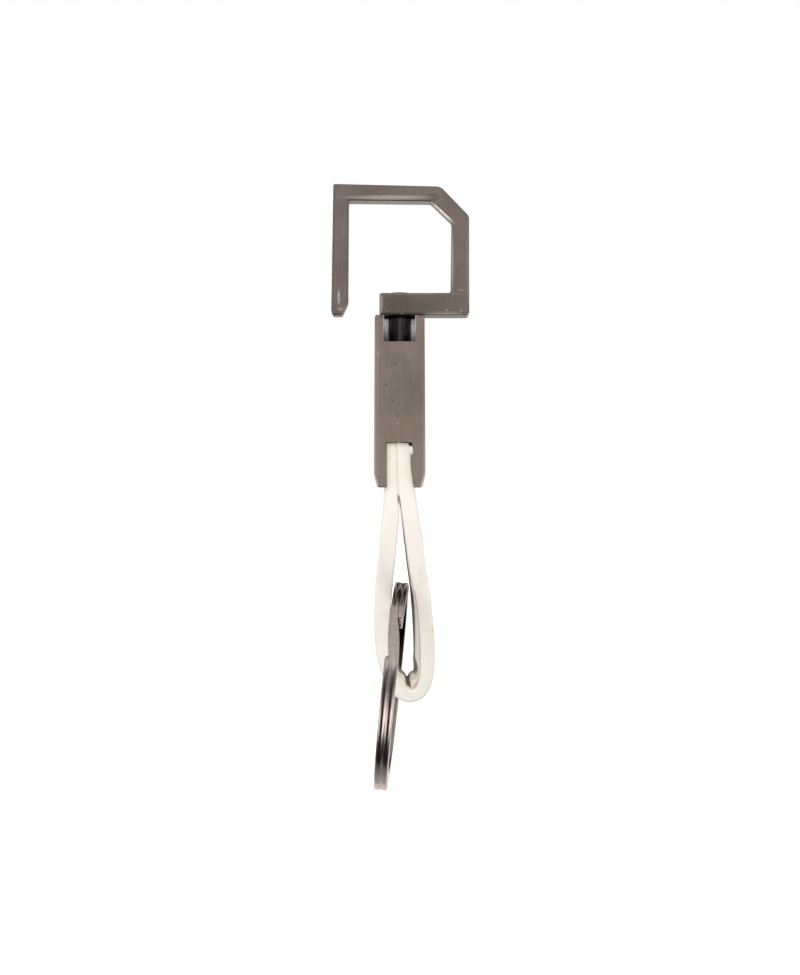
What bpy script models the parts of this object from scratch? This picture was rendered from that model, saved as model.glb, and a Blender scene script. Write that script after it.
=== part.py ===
"""A leather key holder: an open hook of flat bar, a swivel block, a leather loop and a split ring.

It hangs by the hook. The origin is on the underside of the hook's top bar, on the swivel's axis,
with +Z up and the front facing -Y. All lengths are in metres.
"""
import math

import bmesh
import bpy
import numpy as np
from mathutils import Matrix, Vector

# Shared fits and finishes
fit_gap = 0.0003
running_gap = 0.0002
glue_gap = 0.0001
cut_overrun = 0.001
merge_distance = 0.000001
round_steps = 28
sharp_angle = math.radians(35.0)

# Hook: flat bar bent to an open D, deeper where it carries the swivel
hook_bar_depth = 0.0042
swivel_bar_depth = 0.0064
hook_edge_radius = 0.00035
hook_right_outer = 0.01035
right_leg_width = 0.00249
left_leg_inner = 0.00763
left_leg_width = 0.00227
left_leg_splay = 0.00032
top_bar_height_left = 0.0024
top_bar_height_right = 0.0019
chamfer_outer_run = 0.00425
chamfer_inner_run = 0.00336
chamfer_inner_drop = 0.00323
hook_opening_height = 0.01384
swivel_bar_height = 0.00326
swivel_bar_left = 0.00301
tip_below_bar_top = 0.00311
tip_inner_chamfer_width = 0.00088
tip_inner_chamfer_height = 0.00183
tip_outer_chamfer_width = 0.0002
tip_outer_chamfer_height = 0.0005

# Swivel post and its washer
shank_radius = 0.001
post_radius = 0.0016
post_depth_in_block = 0.005
post_end_chamfer = 0.0003
head_radius = 0.0015
head_height = 0.00045
head_rim_height = 0.00015
washer_radius = 0.0021
washer_thickness = 0.0004

# Block: square bar with a pocket at the top and a slot at the bottom
block_width = 0.0074
block_height = 0.02547
block_edge_radius = 0.00037
block_flare = 0.00012
block_foot_height = 0.00194
block_foot_inset = 0.00037
pocket_radius = 0.00236
pocket_depth = 0.00379
slot_width = 0.004
slot_height = 0.00654

# Cross pin through the block and both leather ends
strap_pin_radius = 0.00075
strap_pin_sink = 0.00015

# Leather strap, folded to a loop, with its lining on the inner side
strap_width = 0.006
strap_edge_radius = 0.0004
lining_edge_radius = 0.0001
strap_end_gap = 0.0002
strap_side_gap = 0.0001
strap_end_margin = 0.00005
cover_thickness = 0.0019
lining_thickness = 0.001
loop_drop = 0.03195
loop_half_width = 0.00452
loop_lean = 0.00069
straight_below_block = 0.0018
route_points = 84

# Split ring of flat wire, two turns
ring_outer_radius = 0.015
ring_wire_width = 0.0024
ring_wire_thickness = 0.00071
ring_turn_gap = 0.00043
ring_wire_edge_radius = 0.00015
ring_points_per_turn = 32
ring_end_angle_low = math.radians(22.1)
ring_end_angle_high = math.radians(44.5)
ring_lean = math.radians(5.8)
ring_yaw = math.radians(1.2)
ring_droop = math.radians(7.0)

# The strap's outer outline below the block: across as a share of the loop's half width,
# from the loop's middle, and down as a share of the loop's drop
loop_outline_shares = (
    (-0.706, 0.104), (-0.838, 0.290), (-0.953, 0.429), (-1.000, 0.608), (-0.978, 0.708),
    (-0.916, 0.791), (-0.771, 0.868), (-0.565, 0.925), (-0.300, 0.970), (-0.077, 0.991),
    (0.186, 1.000), (0.490, 0.987), (0.735, 0.956), (0.915, 0.903), (0.985, 0.845),
    (1.000, 0.743), (0.912, 0.569), (0.788, 0.429), (0.646, 0.290), (0.456, 0.110),
)
# Thickness along the strap, as (share of its length, share of the layer's full thickness)
cover_thickness_shares = (
    (0.0, 0.64), (0.10, 0.64), (0.145, 0.98), (0.32, 0.98), (0.355, 0.76), (0.40, 0.76),
    (0.44, 1.10), (0.60, 1.10), (0.70, 1.0), (0.855, 1.0), (0.90, 0.64), (1.0, 0.64),
)
lining_thickness_shares = (
    (0.0, 0.35), (0.36, 0.30), (0.40, 0.30), (0.44, 1.0), (0.62, 1.0), (0.67, 0.80),
    (0.72, 0.35), (1.0, 0.35),
)
ring_seat_route_share = 0.437
# The ring crosses the strap aslant there, so its section is longer than the strap is thick
seat_slant_share = 1.8

# Heights that several pieces share
hook_underside = -(hook_opening_height + swivel_bar_height)
block_top = hook_underside - running_gap
block_bottom = block_top - block_height
pocket_floor = block_top - pocket_depth
slot_ceiling = block_bottom + slot_height
strap_top = slot_ceiling - strap_end_gap
strap_pin_height = strap_top - strap_width / 2
washer_top = hook_underside - glue_gap
shoulder_height = washer_top - washer_thickness - glue_gap

# Colours as (red, green, blue), with roughness and metallic value
gunmetal = ((0.190, 0.158, 0.133), 0.42, 0.9)
satin_gunmetal = ((0.228, 0.190, 0.165), 0.45, 0.9)
dark_steel = ((0.050, 0.040, 0.036), 0.22, 1.0)
black_washer = ((0.012, 0.012, 0.013), 0.5, 0.2)
bright_pin = ((0.25, 0.24, 0.23), 0.3, 1.0)
cream_leather = ((0.90, 0.86, 0.76), 0.55, 0.0)
lining_leather = ((0.72, 0.66, 0.56), 0.7, 0.0)
ring_steel = ((0.13, 0.105, 0.10), 0.2, 1.0)


def clear_scene():
    """Remove every object that the file opens with."""
    for item in list(bpy.data.objects):
        bpy.data.objects.remove(item, do_unlink=True)


def new_collection(name):
    """A collection linked to the scene."""
    collection = bpy.data.collections.new(name)
    bpy.context.scene.collection.children.link(collection)
    return collection


def make_material(name, finish):
    """A Principled material from a colour, a roughness and a metallic value."""
    colour, roughness, metallic = finish
    material = bpy.data.materials.new(name)
    material.use_nodes = True
    shader = material.node_tree.nodes["Principled BSDF"]
    shader.inputs["Base Color"].default_value = (*colour, 1.0)
    shader.inputs["Roughness"].default_value = roughness
    shader.inputs["Metallic"].default_value = metallic
    material.diffuse_color = (*colour, 1.0)
    return material


def add_object(name, mesh, collection, finish=None):
    """Put a mesh in the scene as a named object with its own material."""
    item = bpy.data.objects.new(name, mesh)
    collection.objects.link(item)
    if finish:
        mesh.materials.clear()
        mesh.materials.append(make_material(name + "_finish", finish))
    return item


def add_cutter(name, mesh):
    """A cutter is shown as wire and left out of renders."""
    item = add_object(name, mesh, cutters)
    item.hide_render = True
    item.display_type = "WIRE"
    return item


def mesh_from(shape, name):
    """Close a bmesh into a named mesh with its faces pointing out."""
    bmesh.ops.recalc_face_normals(shape, faces=shape.faces)
    mesh = bpy.data.meshes.new(name)
    shape.to_mesh(mesh)
    shape.free()
    return mesh


def cylinder_mesh(name, radius, start, end, axis="Z"):
    """A closed cylinder between two places on an axis through the given start."""
    shape = bmesh.new()
    length = (end - start).length
    turn = Matrix.Rotation(math.pi / 2, 4, "Y") if axis == "X" else Matrix.Identity(4)
    place = Matrix.Translation((start + end) / 2) @ turn
    bmesh.ops.create_cone(shape, cap_ends=True, segments=round_steps, radius1=radius,
                          radius2=radius, depth=length, matrix=place)
    return mesh_from(shape, name)


def box_mesh(name, low, high):
    """A closed box between two corners."""
    shape = bmesh.new()
    size = high - low
    place = Matrix.Translation((low + high) / 2) @ Matrix.Diagonal((*size, 1.0))
    bmesh.ops.create_cube(shape, size=1.0, matrix=place)
    return mesh_from(shape, name)


def turned_object(name, profile, collection, finish):
    """Turn a profile of (radius, height) about Z with a Screw modifier."""
    mesh = bpy.data.meshes.new(name)
    points = [(radius, 0.0, height) for radius, height in profile]
    edges = [(step, step + 1) for step in range(len(points) - 1)]
    if profile[0][0] > 0.0:
        edges.append((len(points) - 1, 0))
    mesh.from_pydata(points, edges, [])
    item = add_object(name, mesh, collection, finish)
    screw = item.modifiers.new("Turn", "SCREW")
    screw.axis = "Z"
    screw.angle = math.tau
    screw.steps = round_steps
    screw.render_steps = round_steps
    screw.use_merge_vertices = True
    screw.merge_threshold = merge_distance
    screw.use_smooth_shade = True
    return item


def cut(item, cutter, operation="DIFFERENCE"):
    """Cut an object with a cutter, or keep only what lies inside it."""
    boolean = item.modifiers.new(cutter.name, "BOOLEAN")
    boolean.operation = operation
    boolean.solver = "EXACT"
    boolean.object = cutter


def round_edges(item, radius, segments=2):
    """Round every edge sharper than the sharp angle."""
    bevel = item.modifiers.new("Rounded edges", "BEVEL")
    bevel.width = radius
    bevel.segments = segments
    bevel.limit_method = "ANGLE"
    bevel.angle_limit = sharp_angle
    bevel.use_clamp_overlap = True


def set_origin(item, point):
    """Move the object's origin to a point, with its shape left where it is."""
    item.data.transform(Matrix.Translation(-point))
    item.location = point


def smooth_route(points, count):
    """A Catmull-Rom curve through the points, read at even steps along its length."""
    knots = np.vstack([2 * points[0] - points[1], points, 2 * points[-1] - points[-2]])
    steps = np.linspace(0.0, 1.0, 24, endpoint=False)[:, None]
    pieces = []
    for before, start, end, after in zip(knots, knots[1:], knots[2:], knots[3:]):
        pieces.append(0.5 * (2 * start + (end - before) * steps
                             + (2 * before - 5 * start + 4 * end - after) * steps ** 2
                             + (3 * start - before - 3 * end + after) * steps ** 3))
    dense = np.vstack(pieces + [points[-1:]])
    lengths = np.concatenate([[0.0], np.cumsum(np.linalg.norm(np.diff(dense, axis=0), axis=1))])
    even = np.linspace(0.0, lengths[-1], count)
    return np.column_stack([np.interp(even, lengths, dense[:, axis]) for axis in range(2)])


def inward_normals(route):
    """Unit normals on the loop's inner side, for a route that runs down the left limb first."""
    tangent = np.gradient(route, axis=0)
    tangent /= np.linalg.norm(tangent, axis=1)[:, None]
    return np.column_stack([-tangent[:, 1], tangent[:, 0]])


def layer_depth(shares, thickness):
    """A layer's thickness at each point of the route."""
    table = np.array(shares)
    along = np.linspace(0.0, 1.0, route_points)
    return np.interp(along, table[:, 0], table[:, 1])[:, None] * thickness


def strap_outer_route():
    """The strap's outer face from its left end, round the loop, to its right end."""
    face = slot_width / 2 - strap_side_gap
    mouth = block_bottom - straight_below_block
    heights = (strap_top, (strap_top + block_bottom) / 2, block_bottom, mouth)
    left = [(-face, height) for height in heights]
    loop = [(loop_lean + across * loop_half_width, block_bottom - down * loop_drop)
            for across, down in loop_outline_shares]
    right = [(face, height) for height in reversed(heights)]
    return smooth_route(np.array(left + loop + right), route_points)


def band_object(name, outer, inner, edge_radius, finish):
    """A strip of the strap's width, lofted between its outer and its inner route."""
    sections = [(start, end, strap_width / 2) for start, end in zip(outer, inner)]
    item = add_object(name, flat_bar_mesh(name, sections), key_holder, finish)
    round_edges(item, edge_radius)
    return item


def mesh_copy(drawn, name, collection, finish):
    """A curve made a mesh in its own place, with its caps welded, and the curve removed."""
    bpy.context.view_layer.update()
    evaluated = drawn.evaluated_get(bpy.context.evaluated_depsgraph_get())
    mesh = bpy.data.meshes.new_from_object(evaluated)
    mesh.transform(drawn.matrix_world)
    shape = bmesh.new()
    shape.from_mesh(mesh)
    bmesh.ops.remove_doubles(shape, verts=shape.verts, dist=merge_distance)
    bmesh.ops.dissolve_limit(shape, angle_limit=math.radians(0.5), verts=shape.verts,
                             edges=shape.edges)
    bmesh.ops.recalc_face_normals(shape, faces=shape.faces)
    shape.to_mesh(mesh)
    shape.free()
    mesh.name = name
    bpy.data.objects.remove(drawn, do_unlink=True)
    return add_object(name, mesh, collection, finish)


def flat_bar_mesh(name, sections):
    """A bar lofted through sections, each an outer place, an inner place and half a depth."""
    shape = bmesh.new()
    rings = []
    for outer, inner, half in sections:
        corners = ((*outer, -half), (*inner, -half), (*inner, half), (*outer, half))
        rings.append([shape.verts.new((across, depth, height))
                      for across, height, depth in corners])
    for first, second in zip(rings, rings[1:]):
        for corner in range(4):
            following = (corner + 1) % 4
            shape.faces.new((first[corner], first[following], second[following], second[corner]))
    shape.faces.new(rings[0])
    shape.faces.new(rings[-1])
    return mesh_from(shape, name)


def hook_sections():
    """The bar's mitres from the tip to the swivel end, as (outer, inner, half depth)."""
    thin = hook_bar_depth / 2
    deep = swivel_bar_depth / 2
    leg_outer = left_leg_inner + left_leg_width
    tip = -(hook_opening_height + tip_below_bar_top)
    tip_outer = leg_outer + left_leg_splay
    tip_inner = left_leg_inner + left_leg_splay / 3
    right_inner = hook_right_outer - right_leg_width
    chamfer_start = hook_right_outer - chamfer_outer_run
    chamfer_end = top_bar_height_right - chamfer_outer_run
    bar_top = -hook_opening_height
    return (
        ((-tip_outer + tip_outer_chamfer_width, tip),
         (-tip_inner - tip_inner_chamfer_width, tip), thin),
        ((-tip_outer, tip + tip_outer_chamfer_height),
         (-tip_inner, tip + tip_inner_chamfer_height), thin),
        ((-leg_outer, top_bar_height_left), (-left_leg_inner, 0.0), thin),
        ((chamfer_start, top_bar_height_right), (right_inner - chamfer_inner_run, 0.0), thin),
        ((hook_right_outer, chamfer_end), (right_inner, -chamfer_inner_drop), thin),
        ((hook_right_outer, hook_underside), (right_inner, bar_top), deep),
        ((-swivel_bar_left, hook_underside), (-swivel_bar_left, bar_top), deep),
    )


def make_hook():
    """Loft the flat bar through its mitres, round it, and bore its lower bar for the shank."""
    hook = add_object("hook", flat_bar_mesh("hook", hook_sections()), key_holder, gunmetal)
    round_edges(hook, hook_edge_radius)
    bore = cylinder_mesh("hook_bore", shank_radius + running_gap,
                         Vector((0, 0, hook_underside - cut_overrun)),
                         Vector((0, 0, -hook_opening_height + cut_overrun)))
    cut(hook, add_cutter("hook_bore", bore))
    return hook


def make_swivel_post():
    """The post turns in the hook: domed head, shank, barrel and a chamfered foot in the block."""
    head_seat = -hook_opening_height + glue_gap
    foot = pocket_floor - post_depth_in_block
    dome = [(head_radius * math.cos(angle),
             head_seat + head_rim_height + (head_height - head_rim_height) * math.sin(angle))
            for angle in np.linspace(math.pi / 2, 0.0, 5)]
    dome[0] = (0.0, dome[0][1])
    profile = dome + [
        (head_radius, head_seat), (shank_radius, head_seat), (shank_radius, shoulder_height),
        (post_radius, shoulder_height), (post_radius, foot + post_end_chamfer),
        (post_radius - post_end_chamfer, foot), (0.0, foot),
    ]
    return turned_object("swivel_post", profile, key_holder, dark_steel)


def make_swivel_washer():
    """A flat washer between the post's shoulder and the hook."""
    bore = shank_radius + glue_gap
    low = washer_top - washer_thickness
    profile = [(bore, washer_top), (washer_radius, washer_top), (washer_radius, low), (bore, low)]
    return turned_object("swivel_washer", profile, key_holder, black_washer)


def make_block():
    """A square bar, slightly flared and drawn in at its foot, then bored, pocketed and slotted."""
    half = block_width / 2
    mesh = box_mesh("block", Vector((-half, -half, block_bottom)), Vector((half, half, block_top)))
    shape = bmesh.new()
    shape.from_mesh(mesh)
    foot_top = block_bottom + block_foot_height
    bmesh.ops.bisect_plane(shape, geom=shape.verts[:] + shape.edges[:] + shape.faces[:],
                           plane_co=(0, 0, foot_top), plane_no=(0, 0, 1))
    for corner in shape.verts:
        if abs(corner.co.z - foot_top) < merge_distance:
            grown = (half + block_flare) / half
            corner.co.x *= grown
        elif corner.co.z < foot_top:
            drawn_in = (half - block_foot_inset) / half
            corner.co.x *= drawn_in
            corner.co.y *= drawn_in
    shape.to_mesh(mesh)
    shape.free()
    block = add_object("block", mesh, key_holder, satin_gunmetal)
    round_edges(block, block_edge_radius)
    above = Vector((0, 0, block_top + cut_overrun))
    front = -half - cut_overrun
    cutters_for_block = (
        cylinder_mesh("block_pocket", pocket_radius, Vector((0, 0, pocket_floor)), above),
        box_mesh("block_window", Vector((-pocket_radius, front, pocket_floor)),
                 Vector((pocket_radius, 0.0, block_top + cut_overrun))),
        cylinder_mesh("block_bore", post_radius + glue_gap,
                      Vector((0, 0, pocket_floor - post_depth_in_block - fit_gap)), above),
        box_mesh("block_slot", Vector((-slot_width / 2, front, block_bottom - cut_overrun)),
                 Vector((slot_width / 2, -front, slot_ceiling))),
        cylinder_mesh("block_pin_hole", strap_pin_radius + glue_gap,
                      Vector((-block_width, 0, strap_pin_height)),
                      Vector((block_width, 0, strap_pin_height)), "X"),
    )
    for cutter_mesh in cutters_for_block:
        cut(block, add_cutter(cutter_mesh.name, cutter_mesh))
    return block


def make_strap_pin():
    """A plain cross pin, sunk a little below the block's sides."""
    reach = block_width / 2 - strap_pin_sink
    mesh = cylinder_mesh("strap_pin", strap_pin_radius, Vector((-reach, 0, strap_pin_height)),
                         Vector((reach, 0, strap_pin_height)), "X")
    return add_object("strap_pin", mesh, key_holder, bright_pin)


def make_strap():
    """The leather cover and its lining, rounded at the top so that they turn on the pin.

    Gives the middle of the strap where the ring sits, and how far the strap reaches round it.
    """
    outer = strap_outer_route()
    inward = inward_normals(outer)
    cover = layer_depth(cover_thickness_shares, cover_thickness)
    lining = layer_depth(lining_thickness_shares, lining_thickness)
    cover_inner = outer + inward * cover
    lining_outer = cover_inner + inward * glue_gap
    lining_inner = lining_outer + inward * lining
    leather = band_object("strap_leather", outer, cover_inner, strap_edge_radius, cream_leather)
    inside = band_object("strap_lining", lining_outer, lining_inner, lining_edge_radius,
                         lining_leather)
    span = loop_half_width * 2
    deep = strap_width / 2 + cut_overrun
    envelope = add_cutter("strap_envelope", cylinder_mesh(
        "strap_envelope", strap_width / 2 + strap_end_margin,
        Vector((-span, 0, strap_pin_height)),
        Vector((span, 0, strap_pin_height)), "X"))
    below = add_cutter("strap_below_pin", box_mesh(
        "strap_below_pin", Vector((-span, -deep, strap_pin_height - 2 * loop_drop)),
        Vector((span, deep, strap_pin_height))))
    cut(envelope, below, "UNION")
    hole = add_cutter("strap_pin_hole", cylinder_mesh(
        "strap_pin_hole", strap_pin_radius + running_gap, Vector((-span, 0, strap_pin_height)),
        Vector((span, 0, strap_pin_height)), "X"))
    for layer in (leather, inside):
        cut(layer, envelope, "INTERSECT")
        cut(layer, hole)
        set_origin(layer, Vector((0, 0, strap_pin_height)))
    seat = int(round(ring_seat_route_share * (route_points - 1)))
    half_stack = (cover[seat, 0] + glue_gap + lining[seat, 0]) / 2
    middle = outer[seat] + inward[seat] * half_stack
    reach = math.hypot(strap_width / 2, seat_slant_share * half_stack) + fit_gap
    return Vector((middle[0], 0.0, middle[1])), reach


def ring_frame():
    """The ring's own directions: forward and up in its plane, and its axis."""
    forward = Vector((-math.sin(ring_yaw), -math.cos(ring_yaw), 0.0))
    up = Vector((math.sin(ring_lean), 0.0, math.cos(ring_lean)))
    axis = up.cross(forward).normalized()
    up = forward.cross(axis).normalized()
    return forward, up, axis


def ring_route():
    """Angle and side step of the wire's middle: two flat turns, joined by a step between ends."""
    step = ring_wire_thickness + ring_turn_gap
    low, high = ring_end_angle_low, ring_end_angle_high
    turns = np.linspace(0.0, math.tau - (high - low), ring_points_per_turn)
    joined = np.linspace(math.tau - (high - low), math.tau, 9)[1:-1]
    travel = np.concatenate([turns, joined, turns + math.tau])
    share = np.clip((travel - (math.tau - (high - low))) / (high - low), 0.0, 1.0)
    side = step * (share * share * (3.0 - 2.0 * share) - 0.5)
    return low - travel, side


def make_split_ring(seat, strap_reach):
    """Flat wire wound in two turns, with the seat on the strap just inside them."""
    forward, up, axis = ring_frame()
    seat_radius = ring_outer_radius - ring_wire_width - strap_reach
    centre = seat + seat_radius * (forward * math.cos(ring_droop) - up * math.sin(ring_droop))
    middle_radius = ring_outer_radius - ring_wire_width / 2
    angles, side = ring_route()
    points = np.column_stack([middle_radius * np.cos(angles), middle_radius * np.sin(angles), side])
    report_turn_gap(points)
    profile = bpy.data.curves.new("ring_wire_section", "CURVE")
    profile.dimensions = "2D"
    section = profile.splines.new("POLY")
    across, along = ring_wire_width / 2, ring_wire_thickness / 2
    cut_in = ring_wire_edge_radius
    corners = [(across, along - cut_in), (across - cut_in, along), (cut_in - across, along),
               (-across, along - cut_in), (-across, cut_in - along), (cut_in - across, -along),
               (across - cut_in, -along), (across, cut_in - along)]
    section.points.add(len(corners) - 1)
    for point, corner in zip(section.points, corners):
        point.co = (*corner, 0.0, 1.0)
    section.use_cyclic_u = True
    section_object = bpy.data.objects.new("ring_wire_section", profile)
    cutters.objects.link(section_object)
    section_object.hide_render = True
    section_object.display_type = "WIRE"
    curve = bpy.data.curves.new("split_ring_route", "CURVE")
    curve.dimensions = "3D"
    curve.twist_mode = "Z_UP"
    curve.bevel_mode = "OBJECT"
    curve.bevel_object = section_object
    curve.use_fill_caps = True
    spline = curve.splines.new("POLY")
    spline.points.add(len(points) - 1)
    spline.points.foreach_set("co", np.column_stack([points, np.ones(len(points))]).ravel())
    drawn = bpy.data.objects.new("split_ring_route", curve)
    cutters.objects.link(drawn)
    turn = Matrix((forward, up, axis)).transposed().to_4x4()
    drawn.matrix_world = Matrix.Translation(centre) @ turn
    ring = mesh_copy(drawn, "split_ring", key_holder, ring_steel)
    set_origin(ring, seat)
    print("ring seat", [round(value, 6) for value in seat])
    print("ring axis", [round(value, 6) for value in axis])
    print("ring centre", [round(value, 6) for value in centre])
    return ring


def report_turn_gap(points):
    """Print the least gap between the two turns, measured between the wire's middle points."""
    half_turn = ring_points_per_turn // 2
    apart = np.linalg.norm(points[:, None] - points[None], axis=2)
    index = np.arange(len(points))
    apart[np.abs(index[:, None] - index[None]) < half_turn] = np.inf
    print(f"least gap between the ring's turns {1000 * (apart.min() - ring_wire_thickness):.3f} mm")


clear_scene()
key_holder = new_collection("leather_key_holder")
cutters = new_collection("cutters")
make_hook()
make_swivel_post()
make_swivel_washer()
make_block()
make_strap_pin()
ring_seat, seat_reach = make_strap()
make_split_ring(ring_seat, seat_reach)
for item in key_holder.objects:
    item.data.shade_smooth()
    item.data.set_sharp_from_angle(angle=sharp_angle)
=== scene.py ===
import math

import bmesh
import bpy
import numpy as np
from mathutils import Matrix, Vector


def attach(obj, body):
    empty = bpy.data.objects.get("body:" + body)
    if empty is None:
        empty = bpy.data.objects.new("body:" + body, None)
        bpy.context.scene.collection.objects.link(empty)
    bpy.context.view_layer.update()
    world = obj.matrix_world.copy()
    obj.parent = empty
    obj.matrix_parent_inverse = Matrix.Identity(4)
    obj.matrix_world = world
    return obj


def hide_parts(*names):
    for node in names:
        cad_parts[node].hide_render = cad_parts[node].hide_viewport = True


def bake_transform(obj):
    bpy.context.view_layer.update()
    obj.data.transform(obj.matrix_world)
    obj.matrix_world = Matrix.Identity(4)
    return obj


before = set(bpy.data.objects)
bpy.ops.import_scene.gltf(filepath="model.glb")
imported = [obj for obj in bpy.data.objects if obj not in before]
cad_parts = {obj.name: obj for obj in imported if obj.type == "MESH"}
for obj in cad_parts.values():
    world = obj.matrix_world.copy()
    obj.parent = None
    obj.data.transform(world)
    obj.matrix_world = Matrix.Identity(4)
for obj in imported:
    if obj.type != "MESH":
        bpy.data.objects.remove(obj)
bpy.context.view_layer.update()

mm = 0.001

# Camera: level, in front of the middle of the photograph's frame
camera_place = (0.000045, -0.300, -0.042745)
camera_lens = 73.846
camera_sensor = 36.0
camera_near_clip = 0.01

# Heights. The washer, the post's shoulder and the block's top stand closer under the hook than in
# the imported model, as the photograph shows them
hook_underside = -0.0171
hook_bar_top = -0.01384
block_top = -0.01713
block_bottom = -0.04277
pocket_floor = -0.02109
pin_height = -0.03943
washer_top = -0.01712
washer_low = -0.01732
shoulder_height = -0.01734
post_foot = -0.02609

# Hook
hook_depth = 0.0042
hook_swivel_depth = 0.0064
hook_bore_radius = 0.0012
hook_rounding_steps = 6

# Swivel post and washer
shank_radius = 0.001
post_radius = 0.0016
shoulder_chamfer = 0.0001
post_chamfer = 0.0003
post_edge_rounding = 0.00004
head_radius = 0.0015
head_seat = -0.01374
head_rim = 0.00010
head_height = 0.00021
head_steps = 12
post_edge_angle = 40.0
small_rounding_steps = 2
axis_radius = 0.00001
washer_radius = 0.0021
washer_bore = 0.00105
washer_edge_rounding = 0.00003
turned_steps = 72

# Block
block_half = 0.0037
block_flare = 0.00012
block_foot_height = 0.00194
block_foot_inset = 0.00037
block_edge_radius = 0.00037
block_edge_angle = 8.0
block_rounding_steps = 5
pocket_radius = 0.00236
pocket_back = -0.0002
washer_room = -0.0175
post_bore_radius = 0.0017
pin_hole_radius = 0.00085
cut_overrun = 0.001

# Strap: roundings at its outer and its inner face, the cover's outer one smaller in the slot and
# none above a share of the thickness, and the share of the width within which the pucker closes
strap_half_width = 0.003
lining_half_width = 0.00296
cover_rounding = (0.00040, 0.00010)
slot_rounding = 0.00013
slot_reach = (-0.0436, -0.0424)
lining_rounding = (0.00003, 0.00010)
pucker_depth = 0.34
strap_section_steps = (5, 13)
cover_steps = 8
lining_steps = 9
thickest_rounding = 0.45

# Split ring. Its wire's left side meets the other turn, and its right side parts from it, over
# these degrees travelled from the lower end, and its roundings are tight between the turns
ring_centre = (-0.001195, -0.008211, -0.07168)
ring_outer_radius = 0.01518
wire_width = 0.00258
wire_rounding = 0.00011
wire_tight_rounding = 0.00003
wire_crown = 0.00012
wire_end_taper = 0.0006
wire_end_width = 0.55
wire_end_least = 0.03
wire_thickest_rounding = 0.95
wire_section_steps = (4, 9)
wire_steps = 700
wire_smoothing = 9
left_side_meets = (300.0, 360.0)
right_side_parts = (340.0, 400.0)
ring_lean = math.radians(5.8)
ring_yaw = math.radians(1.9)
ring_end_low = math.radians(22.1)
ring_end_high = math.radians(44.5)

# The wire's two sides in millimetres from the ring's middle, against the angle travelled from its
# lower end: both ends are thinned, and the step between the turns fills the width that they leave
wire_sides = (
    (0.0, -0.95, -0.14), (20.0, -0.95, -0.003), (305.0, -0.95, -0.003), (325.0, -0.95, 0.08),
    (337.6, -0.95, 0.22), (342.0, -0.93, 0.44), (348.0, -0.86, 0.72), (354.0, -0.72, 0.90),
    (360.0, -0.50, 0.94), (363.0, -0.24, 0.95), (367.0, -0.10, 0.95), (380.0, 0.003, 0.95),
    (665.0, 0.003, 0.95), (685.0, 0.10, 0.95), (697.6, 0.24, 0.95),
)

# Hook mitres in millimetres from the tip to the swivel end: outer across and height, inner
# across and height, and whether the bar is as deep there as its swivel end
hook_mitres = (
    (-10.02, -17.07, -8.64, -17.07, 0),
    (-10.22, -16.50, -7.73, -15.20, 0),
    (-9.90, 2.53, -7.63, 0.0, 0),
    (6.10, 2.14, 4.64, -0.13, 0),
    (10.35, -2.26, 7.78, -3.15, 0),
    (10.35, -17.10, 7.68, -13.84, 1),
    (-3.01, -17.10, -3.01, -13.84, 1),
)

# Roundings of the hook in millimetres. Along each stretch between two mitres: outer front, inner
# front, inner back and outer back. At each mitre: front, inner, back and outer
hook_edge_rounding = (
    (0.30, 0.25, 0.25, 0.30), (0.42, 0.32, 0.35, 0.35), (0.42, 0.24, 0.35, 0.35),
    (0.42, 0.22, 0.35, 0.35), (0.42, 0.20, 0.35, 0.35), (0.22, 0.32, 0.35, 0.14),
)
hook_mitre_rounding = (
    (0.30, 0.25, 0.30, 0.30), (0.0, 0.25, 0.0, 0.25), (0.0, 0.20, 0.0, 0.28), (0.0, 0.35, 0.0, 0.55),
    (0.0, 0.30, 0.0, 0.35), (0.0, 0.42, 0.0, 0.40), (0.60, 0.35, 0.45, 0.35),
)

# The slot for the leather in millimetres, across and height: its right wall follows the leather
slot_outline = (
    (-2.00, -36.02), (1.30, -36.02), (1.30, -36.55), (2.04, -36.60), (2.04, -37.45), (1.70, -37.85),
    (1.66, -38.60), (1.74, -39.60), (1.88, -40.90), (2.06, -42.10), (2.24, -42.90), (2.40, -43.80),
    (-2.00, -43.80),
)
slot_corner_hole = ((1.28, -36.04), (1.84, -36.10), (1.90, -36.70), (1.28, -36.70))
hole_depth = 0.0016

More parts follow.
